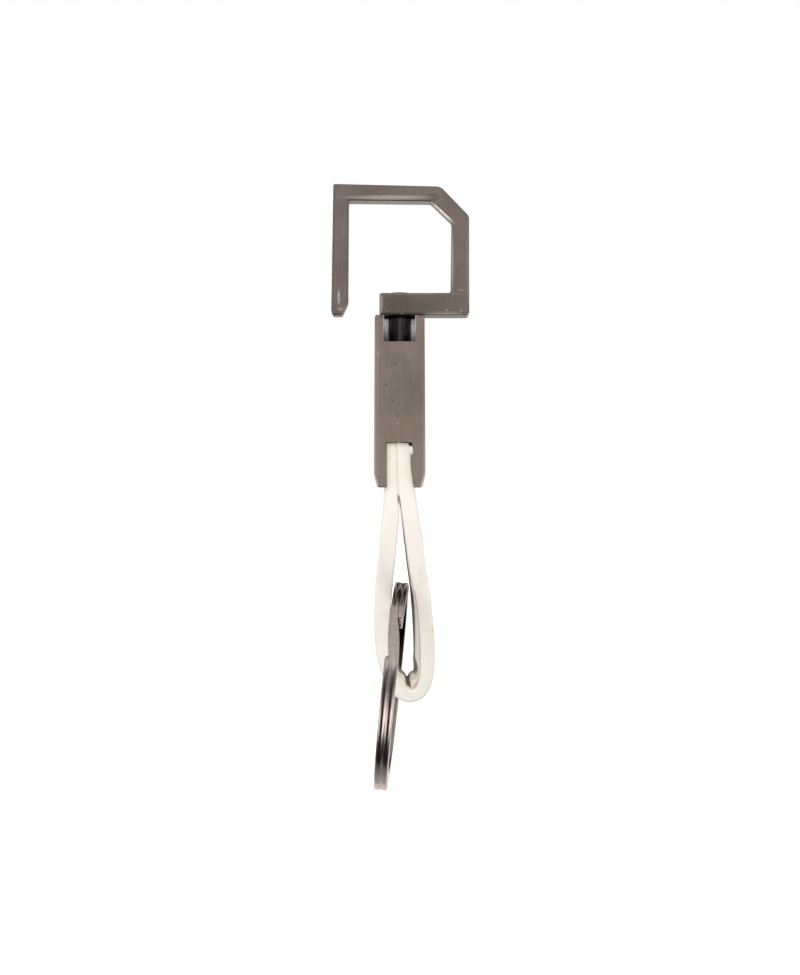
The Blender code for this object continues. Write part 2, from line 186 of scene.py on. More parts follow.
# Strap cover in millimetres from the left end, round the bend, to the right end: outer across
# and height, inner across and height
cover_route = (
    (-1.97, -36.10, -0.62, -36.06), (-1.98, -38.60, -0.56, -38.60), (-1.98, -40.90, -0.50, -40.90),
    (-1.99, -42.55, -0.45, -42.40), (-2.29, -42.98, -0.41, -43.05), (-2.36, -43.90, -0.33, -44.30),
    (-2.44, -46.09, -0.20, -46.09), (-2.78, -49.06, -0.42, -49.06), (-3.10, -52.03, -0.68, -52.03),
    (-3.36, -54.25, -0.90, -54.25), (-3.61, -56.48, -1.14, -56.48), (-3.76, -59.15, -1.36, -59.15),
    (-3.83, -62.72, -1.66, -62.72), (-3.73, -65.39, -1.74, -65.39), (-3.48, -67.70, -1.45, -67.30),
    (-2.93, -69.85, -0.95, -69.30), (-2.15, -71.65, -0.36, -70.90), (-1.45, -72.90, 0.08, -71.90),
    (-0.62, -73.85, 0.36, -72.35), (0.34, -74.45, 0.66, -72.58), (1.53, -74.72, 1.36, -72.80),
    (3.01, -74.30, 2.10, -72.66), (4.05, -73.41, 2.55, -72.20), (4.86, -71.63, 2.90, -71.20),
    (5.20, -69.85, 3.08, -69.90), (5.21, -67.62, 3.09, -67.62), (5.21, -65.39, 3.03, -65.39),
    (5.03, -62.72, 2.85, -62.72), (4.82, -60.90, 2.68, -60.90), (4.65, -59.15, 2.40, -59.15),
    (4.38, -57.37, 1.98, -57.37), (3.98, -54.70, 1.50, -54.70), (3.61, -52.03, 1.12, -52.03),
    (3.32, -50.00, 0.87, -50.00), (2.98, -48.20, 0.62, -48.20), (2.67, -46.09, 0.30, -46.09),
    (2.46, -44.60, 0.06, -44.60), (2.26, -43.20, -0.10, -43.20), (2.04, -42.20, -0.17, -42.20),
    (1.85, -40.90, -0.24, -40.90), (1.71, -39.60, -0.27, -39.60), (1.63, -38.00, -0.30, -38.00),
    (1.58, -36.95, -0.35, -36.60), (1.30, -36.20, -0.38, -36.02),
)

# Lining in millimetres: its face against the cover, its free face at the front edge, and the same
# face further in, where the pucker closes; down the left limb, over the pucker, up the right limb
lining_route = (
    (-0.62, -36.10, -0.49, -36.10, -0.49, -36.10), (-0.56, -38.60, -0.43, -38.60, -0.43, -38.60),
    (-0.50, -40.90, -0.37, -40.90, -0.37, -40.90), (-0.45, -42.40, -0.32, -42.40, -0.32, -42.40),
    (-0.41, -43.05, -0.26, -43.05, -0.26, -43.05), (-0.33, -44.30, -0.17, -44.30, -0.17, -44.30),
    (-0.20, -46.09, -0.06, -46.09, -0.06, -46.09), (-0.42, -49.06, -0.28, -49.06, -0.28, -49.06),
    (-0.68, -52.03, -0.55, -52.03, -0.52, -52.03), (-0.90, -54.25, -0.76, -54.25, -0.73, -54.25),
    (-1.14, -56.48, -1.01, -56.48, -0.98, -56.48), (-1.36, -59.15, -1.22, -59.15, -1.19, -59.15),
    (-1.66, -62.72, -1.52, -62.72, -1.49, -62.72), (-1.74, -65.39, -1.56, -65.30, -1.53, -65.30),
    (-1.45, -67.30, -1.16, -67.00, -1.13, -66.95), (-1.10, -68.85, -0.62, -68.50, -0.60, -68.40),
    (-0.70, -70.05, -0.34, -69.66, -0.30, -69.50), (-0.36, -70.90, 0.02, -70.26, 0.05, -70.12),
    (0.02, -71.75, 0.42, -70.46, 0.44, -70.28), (0.36, -72.35, 0.78, -70.85, 0.80, -70.68),
    (0.66, -72.58, 0.93, -71.45, 0.98, -70.98), (1.00, -72.72, 1.02, -72.00, 1.08, -71.06),
    (1.30, -72.79, 1.34, -72.30, 1.13, -71.08), (1.55, -72.80, 1.66, -72.38, 1.17, -71.04),
    (1.85, -72.75, 1.62, -72.05, 1.24, -70.86), (2.10, -72.66, 1.48, -71.40, 1.40, -70.58),
    (2.34, -72.48, 1.50, -70.90, 1.62, -70.40), (2.55, -72.20, 1.78, -70.56, 1.88, -70.31),
    (2.78, -71.66, 2.28, -70.42, 2.02, -70.16), (2.92, -71.10, 2.58, -70.05, 2.06, -69.80),
    (3.04, -70.50, 2.66, -69.60, 2.05, -69.40), (3.08, -69.60, 2.56, -68.90, 2.02, -68.70),
    (3.10, -68.70, 2.34, -68.30, 1.99, -68.20), (3.09, -67.62, 2.22, -67.50, 2.05, -67.50),
    (3.03, -65.39, 2.26, -65.39, 2.02, -65.39), (2.85, -62.72, 2.24, -62.72, 1.90, -62.72),
    (2.68, -60.90, 2.16, -60.90, 1.78, -60.90), (2.40, -59.15, 1.98, -59.15, 1.64, -59.15),
    (1.98, -57.37, 1.70, -57.37, 1.46, -57.37), (1.50, -54.70, 1.30, -54.70, 1.10, -54.70),
    (1.12, -52.03, 0.94, -52.03, 0.78, -52.03), (0.87, -50.00, 0.69, -50.00, 0.56, -50.00),
    (0.62, -48.20, 0.46, -48.20, 0.38, -48.20), (0.30, -46.09, 0.17, -46.09, 0.12, -46.09),
    (0.06, -44.60, -0.07, -44.60, -0.07, -44.60), (-0.10, -43.20, -0.23, -43.20, -0.23, -43.20),
    (-0.17, -42.20, -0.30, -42.20, -0.30, -42.20), (-0.24, -40.90, -0.36, -40.90, -0.36, -40.90),
    (-0.30, -38.60, -0.42, -38.60, -0.42, -38.60), (-0.38, -36.10, -0.48, -36.10, -0.48, -36.10),
)

# Loose fibres of the cover in millimetres along each one's middle, and half its thickness: a curl
# beside the slot's corner and a frayed end lower down
curl_points = (
    (1.40, -2.84, -36.72, 0.09), (1.62, -2.96, -36.64, 0.10), (1.84, -3.02, -36.76, 0.10),
    (1.94, -3.03, -37.02, 0.10), (1.88, -3.01, -37.30, 0.11), (1.68, -2.96, -37.44, 0.13),
    (1.52, -2.88, -37.30, 0.09),
)
fray_points = (
    (1.70, -2.80, -41.10, 0.10), (1.90, -2.92, -41.14, 0.09), (2.08, -3.00, -41.16, 0.06),
    (2.20, -3.04, -41.22, 0.03),
)

# Worn places on the hook's front in millimetres: across, height, half across, half height,
# strength
hook_wear = (
    (-9.06, -14.40, 0.28, 1.40, 1.0), (-8.80, -16.16, 0.50, 0.42, 0.62),
    (6.97, -16.46, 0.13, 0.13, 1.0), (7.04, -17.02, 0.10, 0.08, 1.0),
    (9.09, -16.46, 0.10, 0.12, 1.0), (9.06, -17.04, 0.12, 0.08, 1.0),
    (8.96, -13.42, 0.16, 0.06, 1.0), (9.36, -13.44, 0.20, 0.05, 0.9),
    (6.60, -16.72, 3.00, 0.05, 0.8), (-1.90, -16.62, 0.30, 0.06, 0.8),
    (0.40, -16.96, 0.22, 0.10, 1.0),
)

# Painted highlights along the hook's edges, in millimetres: across, height, half across,
# half height, degrees turned against the clock, strength
hook_painted_highlights = (
    (-1.60, 0.46, 5.80, 0.34, 0.0, 0.34), (6.34, -1.70, 2.00, 0.13, -43.0, 1.6),
    (-2.82, -15.40, 0.36, 1.60, 0.0, 0.36), (6.60, -16.93, 3.40, 0.09, 0.0, 0.55),
    (7.84, -8.60, 0.13, 5.20, 0.0, 0.40), (2.30, -13.95, 5.40, 0.14, 0.0, 0.22),
    (10.14, -9.60, 0.16, 7.20, 0.0, 0.18),
)

# Painted shade on the hook's lower bar and at the chamfer's top corner, given as worn places are
hook_painted_shades = (
    (4.60, -15.40, 8.20, 6.50, 0.24), (0.20, -16.00, 3.40, 1.60, 0.34),
    (4.95, 0.45, 0.85, 0.55, 0.40),
)

# Small marks on the block's front in millimetres: across, height, radius
block_pits = (
    (-0.70, -24.45, 0.11), (-0.99, -25.78, 0.08), (-2.03, -27.56, 0.10), (-0.99, -29.93, 0.09),
    (-0.33, -32.15, 0.10),
)
block_specks = ((-3.21, -22.97, 0.09), (-0.33, -33.19, 0.09))

# A painted highlight on the block's left edge: across, height, half across, half height, strength
block_edge_highlight = (-3.44, -30.00, 0.34, 13.20, 0.22)

# Painted shade on the lumps and in the crease of the lining's pucker in millimetres: across,
# height, half across, half height, strength
lining_painted_shades = (
    (0.20, -70.50, 0.85, 0.42, 0.55), (1.95, -70.75, 0.60, 0.48, 0.65),
    (2.60, -70.10, 0.30, 0.60, 0.45), (1.00, -71.30, 0.30, 0.62, 0.75),
    (1.60, -71.60, 0.10, 0.60, 0.50),
)

# Where the pucker's free face is as pale as its edge, given in the same way
lining_lobes = (
    (0.10, -70.20, 1.05, 0.75, 1.0), (-0.80, -69.30, 0.55, 0.70, 1.0),
    (1.80, -70.50, 0.45, 0.45, 0.85),
)

# Smudges and fine creases on the cover's front edge, given in the same way
cover_smudges = (
    (2.61, -51.73, 0.42, 0.36, 0.22), (3.06, -55.45, 0.36, 0.60, 0.22),
    (3.13, -56.86, 0.26, 0.34, 0.18), (-2.15, -61.54, 0.40, 0.60, 0.14),
    (4.20, -63.84, 0.50, 0.26, 0.14), (4.88, -63.92, 0.08, 0.42, 0.70),
    (1.13, -73.45, 0.75, 0.10, 0.32), (1.68, -73.86, 0.70, 0.08, 0.28),
    (-1.92, -61.50, 0.05, 6.20, 0.22), (-1.60, -38.20, 0.16, 0.36, 0.22),
    (-1.75, -40.60, 0.10, 0.20, 0.35), (0.90, -37.20, 0.24, 0.24, 0.22),
)

# Colours of the finishes as linear (red, green, blue)
hook_colour = (0.228, 0.188, 0.160)
# Painted shade on the hook's front
painted_shade_colour = (0.060, 0.050, 0.043)
worn_colour = (0.84, 0.80, 0.74)
# Painted highlights on the edges of the hook and the block, brightest on the hook's chamfer
painted_highlight_colour = (0.80, 0.70, 0.61)
chamfer_highlight_colour = (1.0, 0.90, 0.80)
# Painted shade on the hook's underside
underside_shade_colour = (0.05, 0.04, 0.035)
block_colour = (0.305, 0.250, 0.213)
# Painted light on the block's foot
block_foot_light_colour = (0.540, 0.440, 0.371)
pit_colour = (0.035, 0.028, 0.024)
# Painted light on the pocket's walls at the top, painted shade lower down
pocket_shade_colour = (0.14, 0.135, 0.14)
pocket_light_colour = (0.93, 0.94, 1.0)
corner_colour = (0.006, 0.006, 0.006)
plating_edge = (0.88, 0.85, 0.82)
post_colour = (0.050, 0.040, 0.036)
post_haze_colour = (0.075, 0.062, 0.056)
ring_colour = (0.420, 0.354, 0.323)
# Painted shade inside the ring's turns and at its top
ring_painted_shade_colour = (0.052, 0.040, 0.035)
washer_colour = (0.012, 0.012, 0.013)
pin_colour = (0.25, 0.24, 0.23)
cream_colour = (0.93, 0.875, 0.785)
cream_dark = (0.915, 0.860, 0.764)
cream_light = (0.940, 0.892, 0.808)
smudge_colour = (0.52, 0.48, 0.42)
lining_colour = (0.85, 0.79, 0.68)
lining_edge_dark = (0.86, 0.79, 0.68)
lining_edge_light = (0.92, 0.86, 0.76)
# Painted shade on the pucker's lumps and crease
lump_shade_colour = (0.50, 0.46, 0.38)
glue_colour = (0.56, 0.40, 0.34)
slot_peach = (0.92, 0.80, 0.68)
free_face_dark = (0.22, 0.18, 0.13)
free_face_light = (0.34, 0.285, 0.21)
lobe_colour = (0.66, 0.61, 0.51)
parting_colour = (0.16, 0.055, 0.025)

# Roughness of each finish, and how far its texture carries it down and up
hook_roughness = 0.40
block_roughness = 0.42
plating_smoother = 0.05
plating_rougher = 0.06
post_roughness = 0.22
head_roughness = 0.42
ring_roughness = 0.14
washer_roughness = 0.45
pin_roughness = 0.3
polish_smoother = 0.03
polish_rougher = 0.05
cream_roughness = 0.5
cream_rough_range = (0.44, 0.58)
lining_roughness = 0.7

# Textures: scale, detail, roughness and stretch of each noise, and the pebble's scale
plating_clouds = (260.0, 3.0)
plating_grain = (14000.0, 2.0)
plating_streaks = (7500.0, 3.0, 0.6, (1.0, 1.0, 0.035))
worn_breaks = (5200.0, 4.0)
polish_haze = (900.0, 3.0)
turning_marks = (2600.0, 2.0, 0.5, (1.0, 1.0, 9.0))
leather_clouds = (190.0, 3.0)
leather_fibre = (9000.0, 3.0)
leather_lumps = (420.0, 2.0)
leather_pebble = 2600.0
smudge_breaks = (3400.0, 4.0)
lining_fibre = (2400.0, 5.0, 0.6, (1.0, 0.35, 1.0))
lining_lumps = (1500.0, 3.0)

# Ranges of a texture over which a finish goes from its first shade to its second, how light and
# dark its shades are, and the share that each texture has
plating_range = (0.36, 0.64)
plating_light = 1.12
plating_dark = 0.90
cloud_share = 0.62
streak_share = 0.38
grain_range = (0.25, 0.75)
worn_range = (0.36, 0.58)
chamfer_highlight_range = (0.9, 1.3)
haze_range = (0.35, 0.7)
haze_light = 1.18
polish_range = (0.3, 0.7)
leather_cloud_range = (0.35, 0.68)
smudge_range = (0.30, 0.62, 0.25, 1.0)
fibre_range = (0.3, 0.7)

# Bumps: depth and strength
streak_bump = (0.000002, 0.4)
grain_bump = (0.000004, 0.5)
mark_bump = (0.000002, 0.4)
pebble_bump = (0.00003, 0.5)
fibre_bump = (0.00001, 0.25)
lump_bump = (0.00012, 0.35)
lining_fibre_bump = (0.00004, 0.5)
lining_lump_bump = (0.00010, 0.5)

# Planes and half depths of the marks on the front, and how soft their outlines are
wear_plane = -0.0034
painted_light_plane = -0.0026
patch_depth = 0.0016
edge_highlight_depth = 0.0010
pit_depth = 0.0006
smudge_depth = 0.0008
lump_shade_depth = 0.0020
lobe_depth = 0.0030
painted_shade_softness = 0.6
highlight_softness = 0.5
smudge_softness = 0.6
lump_shade_softness = 0.7
lobe_softness = 0.4
corner_softness = 0.12
parting_softness = 0.3

# Reaches of the finishes' zones: heights, or places to the side and to the back
# Heights and strength of the painted shade on the hook's underside
underside_shade_reach = (hook_underside + 0.00002, hook_underside + 0.00014)
underside_shade_share = 0.6
# Heights and strength of the painted light on the block's foot
foot_light_reach = (-0.0435, -0.0270)
foot_light_share = 0.85
# Where the pocket's walls carry painted light and shade, and the heights over which it fades
pocket_sides = (pocket_radius + 0.00001, pocket_radius + 0.00005)
pocket_rise = (pocket_floor + 0.00002, pocket_floor + 0.00012)
pocket_rear = (0.0026, 0.0030)
pocket_light_fade = (pocket_floor, pocket_floor + 0.0031)
corner_place = (0.00156, -0.0029, -0.03636)
corner_radii = (0.00036, 0.00083, 0.00040)
rivet_head_reach = (hook_bar_top - 0.00010, hook_bar_top - 0.00002)
# Heights of the painted shade inside the ring's turns and at its top, and the top's strength
inner_shade_reach = (-0.0700, -0.0655)
top_shade_reach = (-0.0600, -0.0578)
top_shade_share = 0.85
slot_peach_reach = (-0.0450, -0.0438)
parting_place = (-0.00006, -0.0030, -0.04470)
parting_radii = (0.00022, 0.0014, 0.00090)
parting_turn = 11.0

# The lining's glue line, and the painted shade on its edge beside the free face, start at these
# shares of the way along the lining
glue_start = (0.42, 0.50)
edge_shade_start = (0.30, 0.42, 0.35, 1.0)

# Shades by the share of the way round a strip's or wire's section, as (share, strength)
pebbled_faces = (
    (0.0, 0.2), (0.07, 1.0), (0.25, 1.0), (0.32, 0.2), (0.50, 0.2), (0.57, 1.0), (0.75, 1.0),
    (0.82, 0.2),
)
# Painted shade on the wire's inner face
wire_inner_shade = ((0.0, 0.0), (0.50, 0.0), (0.58, 1.0), (0.75, 1.0), (0.82, 0.0))
glue_line = ((0.0, 0.0), (0.76, 0.0), (0.80, 0.85), (0.84, 0.85), (0.88, 0.0))
free_face = ((0.0, 0.0), (0.05, 0.6), (0.08, 1.0), (0.25, 1.0), (0.30, 0.0))
# Painted shade on the lining's edge beside its free face
free_edge_shade = ((0.0, 0.40), (0.06, 1.0), (0.10, 0.0), (0.84, 0.0), (1.0, 0.40))

# Floor behind the key holder, its glow, and the share of that glow that metal mirrors
white = (1.0, 1.0, 1.0)
floor_colour = (0.86, 0.86, 0.86)
floor_roughness = 0.9
floor_glow = 0.75
floor_metal_share = 0.55
floor_height = -0.135
floor_near = 0.03
floor_reach = 3.0

# The studio by height round the part, in degrees from straight ahead of it (0) up over it (90) and
# behind it (180), as (degrees, brightness). Below and above it is the same all round; in between
# there are the bands straight in front, where the dark camera stands, and those to the sides of
# that, where two low soft boxes are
low_bands = (
    (-180, 0.95), (-160, 0.68), (-141, 0.66), (-124, 0.62), (-106, 0.37), (-95, 0.18),
)
high_bands = (
    (32, 0.92), (50, 0.88), (65, 0.84), (81, 0.78), (97, 0.78), (106, 0.80), (116, 0.55),
    (124, 0.24), (132, 0.07), (155, 0.05), (166, 0.40), (180, 0.95),
)
ahead_bands = (
    *low_bands, (-90, 0.03), (-54, 0.02), (-23, 0.03), (0, 0.06), (11, 0.09), (18, 0.22),
    (24, 0.45), *high_bands,
)
side_bands = (
    *low_bands, (-90, 0.04), (-76, 0.05), (-68, 0.16), (-61, 0.60), (-52, 1.90), (-40, 2.50),
    (-28, 2.10), (-15, 1.00), (-4, 0.46), (6, 0.30), (17, 0.28), (23, 0.45), *high_bands,
)

# How far the side bands take over from left (0) through straight ahead (0.5) to right (1)
side_share = ((0.14, 1.0), (0.34, 0.0), (0.55, 0.0), (0.66, 1.0))

# White walls far to the left and right: how sharply they begin, and where round the part they
# show, as (share of a turn, strength)
wall_sharpness = 8.0
wall_share = ((0.74, 1.0), (0.84, 0.0), (0.98, 0.0), (1.0, 1.0))

# Lamps: place, the place it is aimed at, width and height, and power
key_lamp = ((-0.26, -0.78, 0.45), (0.0, 0.0, -0.045), (0.8, 0.8), 4.5)
satin_card = ((0.0, -0.12, 0.008), (0.0, 0.0, -0.014), (0.11, 0.062), 0.0023)
card_spread = math.radians(52.0)


# Shapes

def smooth_rows(rows, steps):
    """A Catmull-Rom curve through the rows of a table, with the same steps between any two rows."""
    rows = np.array(rows, float)
    padded = np.vstack([2 * rows[0] - rows[1], rows, 2 * rows[-1] - rows[-2]])
    share = np.linspace(0.0, 1.0, steps, endpoint=False)[None, :, None]
    before, start, end, after = (padded[k:len(padded) - 3 + k, None, :] for k in range(4))
    curve = 0.5 * (2 * start + (end - before) * share
                   + (2 * before - 5 * start + 4 * end - after) * share ** 2
                   + (3 * start - before - 3 * end + after) * share ** 3)
    return np.vstack([curve.reshape(-1, rows.shape[1]), rows[-1:]])


def rounded_section(corner_steps, flat_steps):
    """A unit rounded rectangle: for each point which side and which edge it belongs to, from 0 to
    1, and how far the corner's radius pushes it that way, from -1 to 1, counted anticlockwise."""
    side, edge, push_side, push_edge = [], [], [], []
    corners = ((1, 0, -90), (1, 1, 0), (0, 1, 90), (0, 0, 180))
    for index, (across, along, start) in enumerate(corners):
        angle = np.radians(start + np.linspace(0.0, 90.0, corner_steps))
        side.append(np.full(corner_steps, across, float))
        edge.append(np.full(corner_steps, along, float))
        push_side.append(np.cos(angle))
        push_edge.append(np.sin(angle))
        following = corners[(index + 1) % 4]
        share = np.linspace(0.0, 1.0, flat_steps + 2)[1:-1]
        side.append(across + (following[0] - across) * share)
        edge.append(along + (following[1] - along) * share)
        push_side.append(np.full(flat_steps, round(math.cos(angle[-1]))))
        push_edge.append(np.full(flat_steps, round(math.sin(angle[-1]))))
    return tuple(np.concatenate(part) for part in (side, edge, push_side, push_edge))


def tube_faces(rows, columns):
    """Quads of a grid whose columns close on themselves, with a many-sided face at each end."""
    row = np.arange(rows - 1)[:, None] * columns
    here = np.arange(columns)[None, :]
    following = (here + 1) % columns
    quads = np.stack([row + here, row + following, row + columns + following,
                      row + columns + here], axis=-1).reshape(-1, 4)
    first = list(range(columns))[::-1]
    last = list(range((rows - 1) * columns, rows * columns))
    return quads.tolist() + [first, last]


def add_piece(name, points, faces, material, grid=None):
    """A named mesh object with its faces turned outwards. A grid of (rows, columns) also gets a
    UV map: the share of the way along the rows and round the columns."""
    mesh = bpy.data.meshes.new(name)
    mesh.from_pydata(points.reshape(-1, 3).tolist(), [], faces)
    shape = bmesh.new()
    shape.from_mesh(mesh)
    bmesh.ops.recalc_face_normals(shape, faces=shape.faces)
    shape.to_mesh(mesh)
    shape.free()
    mesh.polygons.foreach_set("use_smooth", np.ones(len(mesh.polygons), bool))
    if grid:
        rows, columns = grid
        corner = np.zeros(len(mesh.loops), np.int64)
        mesh.loops.foreach_get("vertex_index", corner)
        along, round_share = (corner // columns) / (rows - 1), (corner % columns) / columns
        sides = round_share[:4 * (rows - 1) * columns].reshape(-1, 4)
        sides[(np.ptp(sides, axis=1) > 0.5)[:, None] & (sides < 0.5)] += 1.0
        place = np.column_stack([along, round_share])
        layer = mesh.uv_layers.new(name="wrap")
        layer.data.foreach_set("uv", place.astype(np.float32).ravel())
    mesh.materials.append(material)
    item = bpy.data.objects.new(name, mesh)
    bpy.context.scene.collection.objects.link(item)
    return item


def sweep_piece(name, sections, material):
    """A closed tube through an array of sections, indexed by row, point and coordinate."""
    rows, columns = sections.shape[:2]
    return add_piece(name, sections, tube_faces(rows, columns), material, (rows, columns))


def band_sections(route, half_width, rounding, section, pucker=0.0):
    """Sections of a flat strip between its outer and its inner route, half a width to the front
    and to the back, with one rounding at the outer face and another at the inner one. With a
    pucker, the inner face moves over to a third route within that share of the width, from the
    front edge and from the back edge alike."""
    side, edge, push_side, push_edge = (values[None, :, None] for values in section)
    outer, inner = route[:, None, 0:2], route[:, None, 2:4]
    if pucker:
        share = np.clip(np.minimum(edge, 1 - edge) / pucker, 0.0, 1.0)
        inner = inner + (route[:, None, 4:6] - inner) * share * share * (3 - 2 * share)
    across = inner - outer
    thickness = np.linalg.norm(across, axis=2, keepdims=True)
    first, second = (np.minimum(radius, thickest_rounding * thickness) for radius in rounding)
    radius = first + (second - first) * side
    flat = outer + across / thickness * (first + side * (thickness - first - second)
                                         + push_side * radius)
    depth = (2 * edge - 1) * (half_width - radius) + push_edge * radius
    return np.concatenate([flat[..., 0:1], depth, flat[..., 1:2]], axis=2)


def fibre_sections(points, steps=6, columns=10):
    """Round sections of a loose fibre along its smoothed points, as thick as the fourth value."""
    curve = smooth_rows(points, steps) * mm
    middle, radius = curve[:, None, 0:3], curve[:, None, 3:4]
    ahead = np.gradient(curve[:, 0:3], axis=0)
    ahead /= np.linalg.norm(ahead, axis=1, keepdims=True)
    side = np.cross(ahead, (0.0, 1.0, 0.0))
    side /= np.linalg.norm(side, axis=1, keepdims=True)
    front = np.cross(side, ahead)
    angle = np.linspace(0.0, math.tau, columns, endpoint=False)[None, :, None]
    return middle + radius * (np.cos(angle) * side[:, None] + np.sin(angle) * front[:, None])


def turned_points(profile):
    """A circle of points about the Z axis for each (radius, height) of a profile."""
    profile = np.array(profile)
    angle = np.linspace(0.0, math.tau, turned_steps, endpoint=False)
    return np.stack([profile[:, 0, None] * np.cos(angle), profile[:, 0, None] * np.sin(angle),
                     profile[:, 1, None] * np.ones(turned_steps)], axis=-1)


def box_points(low, high):
    """The eight corners of a box, as two sections of four."""
    (x0, y0, z0), (x1, y1, z1) = low, high
    loop = ((x0, y0), (x1, y0), (x1, y1), (x0, y1))
    return np.array([[(x, y, z) for x, y in loop] for z in (z0, z1)])


def prism_points(outline, front, back):
    """Two sections of a prism through an outline of (across, height) in millimetres, along Y."""
    outline = np.array(outline) * mm
    return np.array([[(x, y, z) for x, z in outline] for y in (front, back)])


def cylinder_points(radius, low, high, along="Z"):
    """Two circles of a cylinder through the given low and high centres, about Z or about X."""
    angle = np.linspace(0.0, math.tau, turned_steps, endpoint=False)
    if along == "Z":
        circle = np.stack([np.cos(angle), np.sin(angle), 0 * angle], axis=-1) * radius
    else:
        circle = np.stack([0 * angle, np.cos(angle), np.sin(angle)], axis=-1) * radius
    return np.stack([circle + np.array(low), circle + np.array(high)])


def bevel(item, radius, segments, angle=30.0):
    """Round the edges that are sharper than the angle in degrees, in a number of steps."""
    step = item.modifiers.new("rounding", "BEVEL")
    step.width = radius
    step.segments = segments
    step.limit_method = "ANGLE"
    step.angle_limit = math.radians(angle)
    step.use_clamp_overlap = True


def cut_out(item, sections):
    """Cut a closed shape, given as sections, out of a piece."""
    cutter = add_piece("cutter", sections, tube_faces(*sections.shape[:2]), None)
    step = item.modifiers.new("cut", "BOOLEAN")
    step.operation = "DIFFERENCE"
    step.solver = "EXACT"
    step.object = cutter
    return cutter


def applied(item):
    """Make a piece's modifiers part of its mesh."""
    bpy.context.view_layer.update()
    graph = bpy.context.evaluated_depsgraph_get()
    finished = bpy.data.meshes.new_from_object(item.evaluated_get(graph))
    item.modifiers.clear()
    item.data = finished


def settle(item, cutters=(), sharp=38.0):
    """Finish a piece: apply its modifiers, drop the cutters, keep the edges sharper than the angle
    sharp, and weigh the normals so that flat faces stay flat."""
    applied(item)
    for cutter in cutters:
        bpy.data.objects.remove(cutter, do_unlink=True)
    shape = bmesh.new()
    shape.from_mesh(item.data)
    for edge in shape.edges:
        edge.smooth = len(edge.link_faces) < 2 or edge.calc_face_angle() < math.radians(sharp)
    shape.to_mesh(item.data)
    shape.free()
    weighted = item.modifiers.new("flat faces", "WEIGHTED_NORMAL")
    weighted.keep_sharp = True
    applied(item)


# Materials

def put(tree, value, socket):
    """Set a socket to a number or a colour, or link it to another node's output."""
    if isinstance(value, bpy.types.NodeSocket):
        tree.links.new(value, socket)
    elif isinstance(value, tuple):
        socket.default_value = (*value, 1.0)
    else:
        socket.default_value = value


def reckon(tree, operation, first, second=0.0):
    """The result of a Math node's operation on two values."""
    node = tree.nodes.new("ShaderNodeMath")
    node.operation = operation
    put(tree, first, node.inputs[0])
    put(tree, second, node.inputs[1])
    return node.outputs[0]


def mixed(tree, share, first, second):
    """A colour between the first and the second, by a share from 0 to 1."""
    node = tree.nodes.new("ShaderNodeMix")
    node.data_type = "RGBA"
    put(tree, share, node.inputs[0])
    put(tree, first, node.inputs[6])
    put(tree, second, node.inputs[7])
    return node.outputs[2]


def grey_ramp(tree, value, stops, interpolation):
    """A ramp of greys over a value from 0 to 1, from its stops of (position, brightness)."""
    ramp = tree.nodes.new("ShaderNodeValToRGB")
    ramp.color_ramp.interpolation = interpolation
    elements = ramp.color_ramp.elements
    while len(elements) > 1:
        elements.remove(elements[0])
    for index, (position, brightness) in enumerate(stops):
        element = elements[0] if index == 0 else elements.new(position)
        element.position = position
        element.color = (brightness, brightness, brightness, 1.0)
    put(tree, value, ramp.inputs["Fac"])
    return ramp.outputs["Color"]


